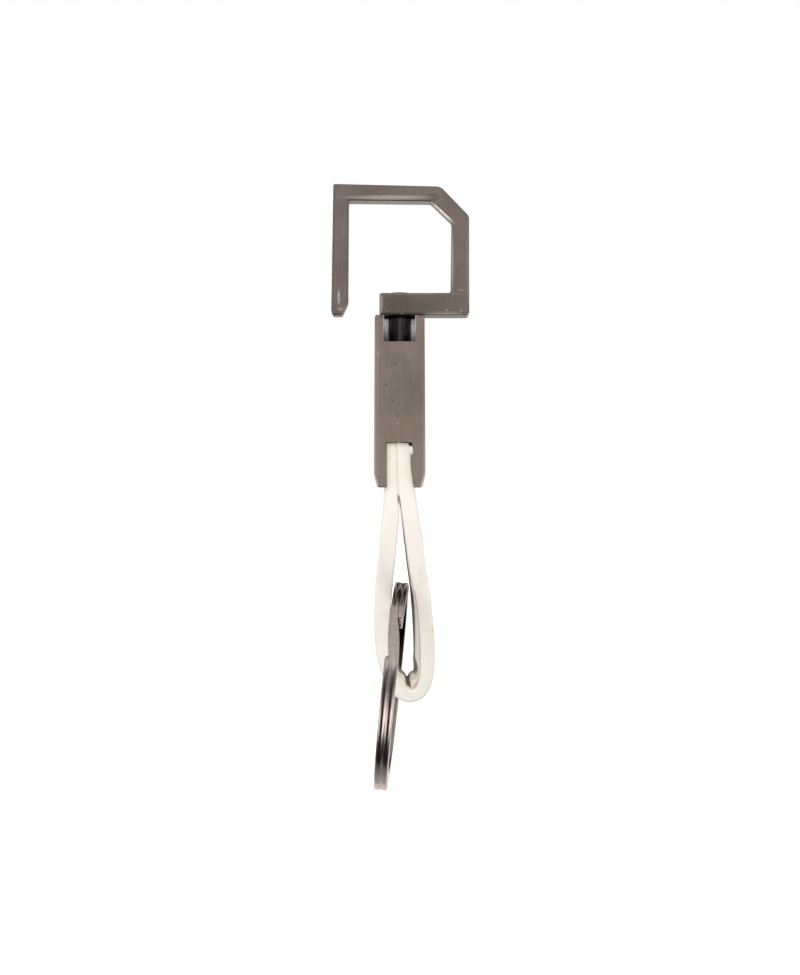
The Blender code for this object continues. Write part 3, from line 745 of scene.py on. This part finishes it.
class Finish:
    """A Principled material and short ways to add nodes to it."""

    def __init__(self, name, colour, roughness, metallic=0.0):
        self.material = bpy.data.materials.new(name)
        self.material.use_nodes = True
        self.tree = self.material.node_tree
        self.shader = self.tree.nodes["Principled BSDF"]
        put(self.tree, colour, self.shader.inputs["Base Color"])
        put(self.tree, roughness, self.shader.inputs["Roughness"])
        put(self.tree, metallic, self.shader.inputs["Metallic"])
        if metallic:
            self.shader.inputs["Specular Tint"].default_value = (*plating_edge, 1.0)
        self.place = self.tree.nodes.new("ShaderNodeTexCoord")

    def noise(self, scale, detail=3.0, roughness=0.55, stretch=(1.0, 1.0, 1.0)):
        """Noise of a given scale on the piece's own coordinates, stretched along its axes."""
        mapping = self.tree.nodes.new("ShaderNodeMapping")
        mapping.inputs["Scale"].default_value = stretch
        put(self.tree, self.place.outputs["Object"], mapping.inputs["Vector"])
        node = self.tree.nodes.new("ShaderNodeTexNoise")
        node.inputs["Scale"].default_value = scale
        node.inputs["Detail"].default_value = detail
        node.inputs["Roughness"].default_value = roughness
        put(self.tree, mapping.outputs["Vector"], node.inputs["Vector"])
        return node.outputs["Fac"]

    def axis(self, name):
        """The piece's own X, Y or Z."""
        node = self.tree.nodes.new("ShaderNodeSeparateXYZ")
        put(self.tree, self.place.outputs["Object"], node.inputs[0])
        return node.outputs[name]

    def wrap(self, name):
        """The share of the way along a swept piece (X) or round its section (Y)."""
        layer = self.tree.nodes.new("ShaderNodeUVMap")
        layer.uv_map = "wrap"
        node = self.tree.nodes.new("ShaderNodeSeparateXYZ")
        put(self.tree, layer.outputs["UV"], node.inputs[0])
        return node.outputs[name]

    def grades(self, value, stops):
        """A grey that follows stops of (position, brightness)."""
        return grey_ramp(self.tree, value, stops, "LINEAR")

    def cells(self, scale):
        """The distance to the edges of Voronoi cells of a given scale."""
        node = self.tree.nodes.new("ShaderNodeTexVoronoi")
        node.feature = "DISTANCE_TO_EDGE"
        node.inputs["Scale"].default_value = scale
        put(self.tree, self.place.outputs["Object"], node.inputs["Vector"])
        return node.outputs["Distance"]

    def ramp(self, value, low, high, start=0.0, end=1.0):
        """Carry a value from the low..high range to the start..end range, clamped and smooth."""
        node = self.tree.nodes.new("ShaderNodeMapRange")
        node.interpolation_type = "SMOOTHSTEP"
        put(self.tree, value, node.inputs["Value"])
        for name, number in (("From Min", low), ("From Max", high), ("To Min", start),
                             ("To Max", end)):
            node.inputs[name].default_value = number
        return node.outputs["Result"]

    def plus(self, first, second):
        """The sum of two values."""
        return reckon(self.tree, "ADD", first, second)

    def times(self, first, second):
        """The product of two values."""
        return reckon(self.tree, "MULTIPLY", first, second)

    def larger(self, first, second):
        """The larger of two values."""
        return reckon(self.tree, "MAXIMUM", first, second)

    def size(self, value):
        """A value without its sign."""
        return reckon(self.tree, "ABSOLUTE", value)

    def mix(self, share, first, second):
        """A colour between the first and the second, by a share from 0 to 1."""
        return mixed(self.tree, share, first, second)

    def spot(self, centre, radii, edge=0.35, turn=0.0):
        """1 inside an ellipsoid on the piece's own coordinates and 0 outside, with a soft edge. It
        may be turned about Y by some degrees, as seen from the front, against the clock."""
        mapping = self.tree.nodes.new("ShaderNodeMapping")
        mapping.vector_type = "TEXTURE"
        mapping.inputs["Location"].default_value = centre
        mapping.inputs["Rotation"].default_value = (0.0, -math.radians(turn), 0.0)
        mapping.inputs["Scale"].default_value = radii
        put(self.tree, self.place.outputs["Object"], mapping.inputs["Vector"])
        length = self.tree.nodes.new("ShaderNodeVectorMath")
        length.operation = "LENGTH"
        put(self.tree, mapping.outputs["Vector"], length.inputs[0])
        return self.ramp(length.outputs["Value"], 1.0 - edge, 1.0 + edge, 1.0, 0.0)

    def patch(self, row, plane, depth, edge=0.35, turn=0.0):
        """A spot on a plane towards the front, times its strength, from a row in millimetres:
        across, height, half across, half height, strength."""
        across, height, half_across, half_height, strength = row
        place = (across * mm, plane, height * mm)
        spot = self.spot(place, (half_across * mm, depth, half_height * mm), edge, turn)
        return self.times(spot, strength)

    def bump(self, height, distance, strength=1.0, below=None):
        """A bump from a height value, over another bump if one is given."""
        node = self.tree.nodes.new("ShaderNodeBump")
        node.inputs["Strength"].default_value = strength
        node.inputs["Distance"].default_value = distance
        put(self.tree, height, node.inputs["Height"])
        if below:
            put(self.tree, below, node.inputs["Normal"])
        return node.outputs["Normal"]

    def use(self, **sockets):
        """Link values to the shader's own sockets and give the material."""
        for name, value in sockets.items():
            put(self.tree, value, self.shader.inputs[name.replace("_", " ")])
        return self.material


def satin_gunmetal(name, colour, roughness):
    """Satin plated metal, brushed up and down: fine streaks and grain over slight clouds."""
    finish = Finish(name, colour, roughness, 1.0)
    clouds = finish.noise(*plating_clouds)
    grain = finish.noise(*plating_grain)
    streaks = finish.noise(*plating_streaks)
    light = tuple(value * plating_light for value in colour)
    dark = tuple(value * plating_dark for value in colour)
    blend = finish.plus(finish.times(clouds, cloud_share), finish.times(streaks, streak_share))
    shade = finish.mix(finish.ramp(blend, *plating_range), dark, light)
    rough = finish.ramp(grain, *grain_range, roughness - plating_smoother,
                        roughness + plating_rougher)
    normal = finish.bump(streaks, *streak_bump, finish.bump(grain, *grain_bump))
    return finish, shade, rough, normal


def hook_satin():
    """The hook's satin plating: places worn to the bare metal, painted shade on the lower bar, the
    chamfer's corner and the underside, and painted highlights on edges, pale and matt, not metal."""
    finish, shade, rough, normal = satin_gunmetal("hook_satin", hook_colour, hook_roughness)
    broken = finish.ramp(finish.noise(*worn_breaks), *worn_range)
    for row in hook_wear:
        worn = finish.times(finish.patch(row, wear_plane, patch_depth), broken)
        shade = finish.mix(worn, shade, worn_colour)
    # Painted shade on the lower bar and at the chamfer's top corner
    for row in hook_painted_shades:
        painted_shade_spot = finish.patch(row, painted_light_plane, patch_depth, painted_shade_softness)
        shade = finish.mix(painted_shade_spot, shade, painted_shade_colour)
    # Painted highlights along the edges, pale and matt instead of metal where they are strongest
    painted_highlights = 0.0
    for *row, turn, strength in hook_painted_highlights:
        painted_highlight = finish.patch((*row, strength), painted_light_plane, patch_depth, highlight_softness, turn)
        painted_highlights = finish.larger(painted_highlight, painted_highlights)
    shade = finish.mix(painted_highlights, shade, painted_highlight_colour)
    shade = finish.mix(finish.ramp(painted_highlights, *chamfer_highlight_range), shade, chamfer_highlight_colour)
    # Painted shade on the underside of the lower bar
    underside_shade = finish.ramp(finish.axis("Z"), *underside_shade_reach, underside_shade_share, 0.0)
    shade = finish.mix(underside_shade, shade, underside_shade_colour)
    metallic = finish.ramp(painted_highlights, 0.0, 1.0, 1.0, 0.0)
    return finish.use(Base_Color=shade, Roughness=rough, Metallic=metallic, Normal=normal)


def block_satin():
    """The block's satin plating: painted light on its foot, a painted highlight on its left edge,
    pits, specks, painted light in the pocket that fades to painted shade downwards, and a black
    corner beside the leather."""
    finish, shade, rough, normal = satin_gunmetal("block_satin", block_colour, block_roughness)
    height = finish.axis("Z")
    # Painted light, paler towards the foot
    shade = finish.mix(finish.ramp(height, *foot_light_reach, foot_light_share, 0.0), shade, block_foot_light_colour)
    # Painted highlight on the left edge
    edge_highlight = finish.patch(block_edge_highlight, -block_half, edge_highlight_depth, highlight_softness)
    shade = finish.mix(edge_highlight, shade, painted_highlight_colour)
    marks = [(pit, pit_colour) for pit in block_pits]
    marks += [(speck, worn_colour) for speck in block_specks]
    for (across, low, radius), colour in marks:
        place = (across * mm, -block_half, low * mm)
        shade = finish.mix(finish.spot(place, (radius * mm, pit_depth, radius * mm)), shade, colour)
    # Painted light in the pocket, fading to painted shade downwards, pale and matt instead of metal
    painted_pocket = finish.times(finish.ramp(finish.size(finish.axis("X")), *pocket_sides, 1.0, 0.0),
                          finish.ramp(height, *pocket_rise))
    painted_pocket = finish.times(painted_pocket, finish.ramp(finish.axis("Y"), *pocket_rear, 1.0, 0.0))
    pocket_light_and_shade = finish.mix(finish.ramp(height, *pocket_light_fade), pocket_shade_colour, pocket_light_colour)
    shade = finish.mix(painted_pocket, shade, pocket_light_and_shade)
    corner = finish.spot(corner_place, corner_radii, corner_softness)
    shade = finish.mix(corner, shade, corner_colour)
    metallic = finish.ramp(painted_pocket, 0.0, 1.0, 1.0, 0.0)
    return finish.use(Base_Color=shade, Roughness=rough, Metallic=metallic, Normal=normal)


def polished_dark(name, colour, roughness, inner=None):
    """Polished plating: faint turning marks, light handling haze and, on a swept wire, painted shade
    inside the turns and at the top."""
    finish = Finish(name, colour, roughness, 1.0)
    haze = finish.noise(*polish_haze)
    light = tuple(value * haze_light for value in colour)
    shade = finish.mix(finish.ramp(haze, *haze_range), colour, light)
    if inner:
        # Painted shade inside the wire's turns and at the ring's top
        height = finish.axis("Z")
        wire_shade = finish.times(finish.grades(finish.wrap("Y"), wire_inner_shade),
                            finish.ramp(height, *inner_shade_reach))
        wire_shade = finish.larger(wire_shade, finish.ramp(height, *top_shade_reach, 0.0, top_shade_share))
        shade = finish.mix(wire_shade, shade, inner)
    rough = finish.ramp(haze, *polish_range, roughness - polish_smoother,
                        roughness + polish_rougher)
    normal = finish.bump(finish.noise(*turning_marks), *mark_bump)
    return finish.use(Base_Color=shade, Roughness=rough, Normal=normal)


def post_plating():
    """The post's black plating, and the hook's satin colour on the rivet head."""
    finish = Finish("post_black_nickel", post_colour, post_roughness, 1.0)
    haze = finish.ramp(finish.noise(*polish_haze), *haze_range)
    shade = finish.mix(haze, post_colour, post_haze_colour)
    head = finish.ramp(finish.axis("Z"), *rivet_head_reach)
    shade = finish.mix(head, shade, hook_colour)
    rough = finish.ramp(head, 0.0, 1.0, post_roughness, head_roughness)
    normal = finish.bump(finish.noise(*turning_marks), *mark_bump)
    return finish.use(Base_Color=shade, Roughness=rough, Normal=normal)


def cream_leather():
    """Cream leather: pebbled on its broad faces, smoother on its painted edges, with faint clouds,
    smudges and creases."""
    finish = Finish("strap_cream_leather", cream_colour, cream_roughness)
    clouds = finish.ramp(finish.noise(*leather_clouds), *leather_cloud_range)
    shade = finish.mix(clouds, cream_dark, cream_light)
    broken = finish.ramp(finish.noise(*smudge_breaks), *smudge_range)
    for row in cover_smudges:
        patch = finish.patch(row, -strap_half_width, smudge_depth, smudge_softness)
        shade = finish.mix(finish.times(patch, broken), shade, smudge_colour)
    grain = finish.grades(finish.wrap("Y"), pebbled_faces)
    pebble = finish.times(finish.cells(leather_pebble), grain)
    fibre = finish.noise(*leather_fibre)
    normal = finish.bump(pebble, *pebble_bump)
    normal = finish.bump(fibre, *fibre_bump, normal)
    normal = finish.bump(finish.noise(*leather_lumps), *lump_bump, normal)
    rough = finish.ramp(fibre, *fibre_range, *cream_rough_range)
    return finish.use(Base_Color=shade, Roughness=rough, Normal=normal)


def raw_lining():
    """The lining: its edge is as cream as the cover, with painted shade on the pucker's lumps and
    crease, a pinkish glue line beside the cover and peach where both ends meet in the slot. Painted
    shade darkens the edge where it turns to the free face, which is brown and fibrous, but for the
    pale lobes of the pucker, and there is a dark red spot where the limbs part."""
    finish = Finish("strap_lining_leather", lining_colour, lining_roughness)
    along, section, height = finish.wrap("X"), finish.wrap("Y"), finish.axis("Z")
    fibre = finish.noise(*lining_fibre)
    fibre_share = finish.ramp(fibre, *fibre_range)
    edge = finish.mix(fibre_share, lining_edge_dark, lining_edge_light)
    # Painted shade on the pucker's lumps and crease
    for row in lining_painted_shades:
        lump_shade = finish.patch(row, -strap_half_width, lump_shade_depth, lump_shade_softness)
        edge = finish.mix(lump_shade, edge, lump_shade_colour)
    glue = finish.times(finish.grades(section, glue_line), finish.ramp(along, *glue_start))
    edge = finish.mix(glue, edge, glue_colour)
    in_slot = finish.ramp(height, *slot_peach_reach)
    edge = finish.mix(in_slot, edge, slot_peach)
    # Painted shade on the edge where it turns to the free face
    edge_shade = finish.times(finish.grades(section, free_edge_shade), finish.ramp(along, *edge_shade_start))
    brown = finish.mix(fibre_share, free_face_dark, free_face_light)
    for row in lining_lobes:
        lobe = finish.patch(row, -strap_half_width, lobe_depth, lobe_softness)
        brown = finish.mix(lobe, brown, lobe_colour)
    below_slot = finish.ramp(in_slot, 0.0, 1.0, 1.0, 0.0)
    free = finish.times(finish.larger(finish.grades(section, free_face), edge_shade), below_slot)
    shade = finish.mix(free, edge, brown)
    parting = finish.spot(parting_place, parting_radii, parting_softness, parting_turn)
    shade = finish.mix(parting, shade, parting_colour)
    normal = finish.bump(fibre, *lining_fibre_bump)
    normal = finish.bump(finish.noise(*lining_lumps), *lining_lump_bump, normal)
    return finish.use(Base_Color=shade, Normal=normal)


hook_finish = hook_satin()
block_finish = block_satin()
post_finish = post_plating()
ring_finish = polished_dark("ring_black_nickel", ring_colour, ring_roughness, ring_painted_shade_colour)
washer_finish = polished_dark("washer_black", washer_colour, washer_roughness)
pin_finish = polished_dark("pin_steel", pin_colour, pin_roughness)
cover_finish = cream_leather()
lining_finish = raw_lining()


# Pieces

def weigh_edges(item, weights):
    """Give each listed edge, a pair of corner numbers, its share of the rounding."""
    mesh = item.data
    layer = mesh.attributes.new("bevel_weight_edge", "FLOAT", "EDGE")
    values = np.zeros(len(mesh.edges), np.float32)
    for edge in mesh.edges:
        values[edge.index] = weights.get(tuple(sorted(edge.vertices)), 0.0)
    layer.data.foreach_set("value", values)


def make_hook():
    """The flat bar through its mitres: each section's corners run from outer front, inner front
    and inner back to outer back, each edge has its own rounding, and a bore takes the shank."""
    mitres = np.array(hook_mitres)
    half = np.where(mitres[:, 4] > 0, hook_swivel_depth, hook_depth) / 2
    outer, inner = mitres[:, 0:2] * mm, mitres[:, 2:4] * mm
    corners = [np.column_stack([place[:, 0], sign * half, place[:, 1]])
               for place, sign in ((outer, -1), (inner, -1), (inner, 1), (outer, 1))]
    sections = np.stack(corners, axis=1)
    hook = add_piece("hook_bar", sections, tube_faces(*sections.shape[:2]), hook_finish)
    weights = {}
    for row, values in enumerate(hook_edge_rounding):
        for corner, value in enumerate(values):
            weights[(row * 4 + corner, row * 4 + corner + 4)] = value
    for row, values in enumerate(hook_mitre_rounding):
        for corner, value in enumerate(values):
            pair = sorted((row * 4 + corner, row * 4 + (corner + 1) % 4))
            weights[tuple(pair)] = value
    weigh_edges(hook, weights)
    bevel(hook, mm, hook_rounding_steps)
    hook.modifiers["rounding"].limit_method = "WEIGHT"
    bore = cut_out(hook, cylinder_points(hook_bore_radius, (0, 0, hook_underside - cut_overrun),
                                         (0, 0, hook_bar_top + cut_overrun)))
    settle(hook, [bore])
    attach(hook, "hook_body")
    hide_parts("hook")


def make_block():
    """A square bar flared above its drawn-in foot, with window, pocket, bore, slot and pin hole."""
    foot = block_half - block_foot_inset
    widths = ((foot, block_half, block_bottom),
              (block_half + block_flare, block_half, block_bottom + block_foot_height),
              (block_half, block_half, block_top))
    sections = np.array([[(sx * x, sy * y, z) for sx, sy in ((-1, -1), (1, -1), (1, 1), (-1, 1))]
                         for x, y, z in widths])
    block = add_piece("swivel_block", sections, tube_faces(*sections.shape[:2]), block_finish)
    bevel(block, block_edge_radius, block_rounding_steps, block_edge_angle)
    above = block_top + cut_overrun
    front = -block_half - cut_overrun
    slot = prism_points(slot_outline, front, -front)
    hole = prism_points(slot_corner_hole, front, -block_half + hole_depth)
    shapes = (
        cylinder_points(pocket_radius, (0, 0, washer_room), (0, 0, above)),
        box_points((-pocket_radius, front, pocket_floor), (pocket_radius, pocket_back, above)),
        cylinder_points(post_bore_radius, (0, 0, post_foot - post_chamfer), (0, 0, above)),
        slot,
        hole,
        cylinder_points(pin_hole_radius, (-block_half * 2, 0, pin_height),
                        (block_half * 2, 0, pin_height), "X"),
    )
    cutters = [cut_out(block, shape) for shape in shapes]
    settle(block, cutters)
    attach(block, "block_body")
    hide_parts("block")


def make_post():
    """The turned post: domed rivet head, shank, polished barrel and chamfered foot."""
    profile = [(max(head_radius * math.cos(angle), axis_radius),
                head_seat + head_rim + (head_height - head_rim) * math.sin(angle))
               for angle in np.linspace(math.pi / 2, 0.0, head_steps)]
    profile += [
        (head_radius, head_seat), (shank_radius, head_seat), (shank_radius, shoulder_height),
        (post_radius - shoulder_chamfer, shoulder_height),
        (post_radius, shoulder_height - shoulder_chamfer),
        (post_radius, post_foot + post_chamfer), (post_radius - post_chamfer, post_foot),
        (axis_radius, post_foot),
    ]
    post = add_piece("post_turned", turned_points(profile), tube_faces(len(profile), turned_steps),
                     post_finish)
    bevel(post, post_edge_rounding, small_rounding_steps, post_edge_angle)
    settle(post)
    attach(post, "block_body")
    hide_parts("swivel_post")


def make_washer():
    """The thin collar between the post's shoulder and the hook, turned in one closed ring."""
    profile = ((washer_bore, washer_low), (washer_radius, washer_low),
               (washer_radius, washer_top), (washer_bore, washer_top))
    rings = turned_points(profile).swapaxes(0, 1)
    around = np.arange(turned_steps)[:, None] * 4
    following = (around + 4) % (4 * turned_steps)
    here, ahead = np.arange(4)[None, :], (np.arange(4)[None, :] + 1) % 4
    faces = np.stack([around + here, around + ahead, following + ahead, following + here], axis=-1)
    washer = add_piece("washer_collar", rings, faces.reshape(-1, 4).tolist(), washer_finish)
    bevel(washer, washer_edge_rounding, small_rounding_steps)
    settle(washer)
    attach(washer, "block_body")
    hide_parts("swivel_washer")


def make_strap():
    """The cover with its loose fibres and the lining as smooth strips, held by the block and
    bending below it."""
    section = rounded_section(*strap_section_steps)
    route = smooth_rows(cover_route, cover_steps) * mm
    outer_rounding = np.interp(route[:, 1], slot_reach, (cover_rounding[0], slot_rounding))
    rounding = (outer_rounding[:, None, None], cover_rounding[1])
    cover = sweep_piece("leather_cover", band_sections(route, strap_half_width, rounding, section),
                        cover_finish)
    route = smooth_rows(lining_route, lining_steps) * mm
    lining = sweep_piece("leather_lining",
                         band_sections(route, lining_half_width, lining_rounding, section,
                                       pucker_depth), lining_finish)
    for piece, node, slot in ((cover, "strap_leather", "cream_leather"),
                              (lining, "strap_lining", "lining_leather")):
        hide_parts(node)
        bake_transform(piece)
    for name, points in (("fibre_curl", curl_points), ("frayed_end", fray_points)):
        fibre = sweep_piece(name, fibre_sections(points), cover_finish)
        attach(fibre, "block_body")


def make_ring():
    """Flat wire in two turns: the angle falls from the low end, the wire's two sides follow their
    table, and each section is a rounded rectangle between them, drawn in at the wire's ends. Its
    outer and inner faces swell by the crown as 1 - s^2, with s from -1 to 1 across the wire."""
    forward = Vector((-math.sin(ring_yaw), -math.cos(ring_yaw), 0.0))
    up = Vector((math.sin(ring_lean), 0.0, math.cos(ring_lean)))
    axis = up.cross(forward).normalized()
    up = forward.cross(axis).normalized()
    travel = np.linspace(0.0, 2 * math.tau - (ring_end_high - ring_end_low), wire_steps)
    passed = np.degrees(travel)
    table = np.array(wire_sides)
    soften = np.hanning(wire_smoothing) / np.hanning(wire_smoothing).sum()
    columns = (np.interp(passed, table[:, 0], column) for column in table[:, 1:].T)
    left, right = (np.convolve(np.pad(column, wire_smoothing // 2, "edge"), soften, "valid") * mm
                   for column in columns)
    step = (left + right) / 2
    angle = ring_end_low - travel
    middle = ring_outer_radius - wire_width / 2
    from_end = np.minimum(travel, travel[-1] - travel) * middle
    from_end = np.clip(from_end / wire_end_taper, wire_end_least, 1.0)
    fill = np.sqrt(np.clip(1 - (1 - from_end) ** 2, 0.0, 1.0))
    side, edge, push_side, push_edge = rounded_section(*wire_section_steps)
    half_width = wire_width / 2 * (wire_end_width + (1 - wire_end_width) * fill)
    half_thick = (right - left) / 2 * fill
    left_rounding = np.interp(passed, left_side_meets, (wire_rounding, wire_tight_rounding))
    right_rounding = np.interp(passed, right_side_parts, (wire_tight_rounding, wire_rounding))
    rounding = left_rounding[:, None] * (1 - edge) + right_rounding[:, None] * edge
    rounding = np.minimum(rounding, half_thick[:, None] * wire_thickest_rounding)
    radial = (2 * side - 1) * (half_width[:, None] - rounding) + push_side * rounding
    sideways = (2 * edge - 1) * (half_thick[:, None] - rounding) + push_edge * rounding
    share = sideways / half_thick[:, None]
    crown = wire_crown * fill[:, None] * (1 - share ** 2)
    radius = middle + radial + (2 * side - 1) * (crown - wire_crown * fill[:, None])
    forward, up, axis = (np.array(direction) for direction in (forward, up, axis))
    sections = (np.array(ring_centre)
                + (radius * np.cos(angle)[:, None])[..., None] * forward
                + (radius * np.sin(angle)[:, None])[..., None] * up
                + (sideways + step[:, None])[..., None] * axis)
    ring = sweep_piece("coil_ring", sections, ring_finish)
    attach(ring, "ring_body")
    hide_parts("split_ring")


def dress_pin():
    """The pin keeps its own shape and gets its finish."""
    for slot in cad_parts["strap_pin"].material_slots:
        slot.material = pin_finish


# Stage

def make_stage():
    """A pale floor behind the key holder, white but for the shadow on it: to the camera, and in
    metal as well, where its glow is less."""
    floor_finish = bpy.data.materials.new("pale_floor")
    floor_finish.use_nodes = True
    tree = floor_finish.node_tree
    shader = tree.nodes["Principled BSDF"]
    put(tree, floor_colour, shader.inputs["Base Color"])
    put(tree, floor_roughness, shader.inputs["Roughness"])
    put(tree, white, shader.inputs["Emission Color"])
    ray = tree.nodes.new("ShaderNodeLightPath").outputs
    in_metal = reckon(tree, "MAXIMUM", ray["Is Glossy Ray"], ray["Is Transmission Ray"])
    in_metal = reckon(tree, "MULTIPLY", in_metal, floor_metal_share)
    seen = reckon(tree, "MAXIMUM", ray["Is Camera Ray"], in_metal)
    glow = reckon(tree, "MULTIPLY", seen, floor_glow)
    put(tree, glow, shader.inputs["Emission Strength"])
    mesh = bpy.data.meshes.new("floor")
    corners = ((-floor_reach, floor_near), (floor_reach, floor_near), (floor_reach, floor_reach),
               (-floor_reach, floor_reach))
    mesh.from_pydata([(x, y, floor_height) for x, y in corners], [], [(0, 1, 2, 3)])
    mesh.materials.append(floor_finish)
    floor = bpy.data.objects.new("floor", mesh)
    bpy.context.scene.collection.objects.link(floor)


def band_ramp(tree, share, bands):
    """The bands of the studio as a ramp over the share of a whole turn."""
    stops = [((degrees + 180) / 360, brightness) for degrees, brightness in bands]
    return grey_ramp(tree, share, stops, "EASE")


def make_world():
    """A soft studio: bands of brightness by height round the part, another set to its sides, white
    walls beyond those, and plain white where the camera sees past the part."""
    world = bpy.data.worlds.new("studio")
    bpy.context.scene.world = world
    world.use_nodes = True
    tree = world.node_tree
    parts = tree.nodes.new("ShaderNodeSeparateXYZ")
    put(tree, tree.nodes.new("ShaderNodeTexCoord").outputs["Generated"], parts.inputs[0])
    across, back, up = (parts.outputs[name] for name in ("X", "Y", "Z"))
    turn = reckon(tree, "ARCTAN2", up, reckon(tree, "MULTIPLY", back, -1.0))
    share = reckon(tree, "ADD", reckon(tree, "DIVIDE", turn, math.tau), 0.5)
    sideways = reckon(tree, "ADD", reckon(tree, "MULTIPLY", across, 0.5), 0.5)
    aside = grey_ramp(tree, sideways, side_share, "LINEAR")
    studio = mixed(tree, aside, band_ramp(tree, share, ahead_bands),
                   band_ramp(tree, share, side_bands))
    beside = reckon(tree, "POWER", reckon(tree, "ABSOLUTE", across), wall_sharpness)
    walls = reckon(tree, "MULTIPLY", beside, grey_ramp(tree, share, wall_share, "LINEAR"))
    studio = mixed(tree, walls, studio, white)
    ray = tree.nodes.new("ShaderNodeLightPath").outputs
    seen = mixed(tree, ray["Is Camera Ray"], studio, white)
    put(tree, seen, tree.nodes["Background"].inputs["Color"])


def make_camera():
    """A level camera with the photograph's framing."""
    data = bpy.data.cameras.new("camera")
    data.sensor_fit = "VERTICAL"
    data.sensor_height = camera_sensor
    data.lens = camera_lens
    data.clip_start = camera_near_clip
    camera = bpy.data.objects.new("camera", data)
    camera.location = camera_place
    camera.rotation_euler = (math.pi / 2, 0.0, 0.0)
    bpy.context.scene.collection.objects.link(camera)
    bpy.context.scene.camera = camera


def make_lamp(name, place, aim, size, power, mirrored=False, spread=math.pi):
    """A soft lamp of a given width and height, aimed at a place. Metal mirrors it or only shows
    the studio, and a narrow spread keeps its light from what stands aside."""
    data = bpy.data.lights.new(name, "AREA")
    data.shape = "RECTANGLE"
    data.size, data.size_y = size
    data.energy = power
    data.spread = spread
    lamp = bpy.data.objects.new(name, data)
    lamp.location = place
    lamp.visible_camera = False
    lamp.visible_glossy = mirrored
    lamp.rotation_euler = (Vector(aim) - lamp.location).to_track_quat("-Z", "Y").to_euler()
    bpy.context.scene.collection.objects.link(lamp)


make_hook()
make_block()
make_post()
make_strap()
make_ring()
make_washer()
dress_pin()
make_stage()
make_world()
make_camera()
make_lamp("key_lamp", *key_lamp)
make_lamp("satin_card", *satin_card, True, card_spread)
bpy.context.scene.view_settings.view_transform = "Standard"
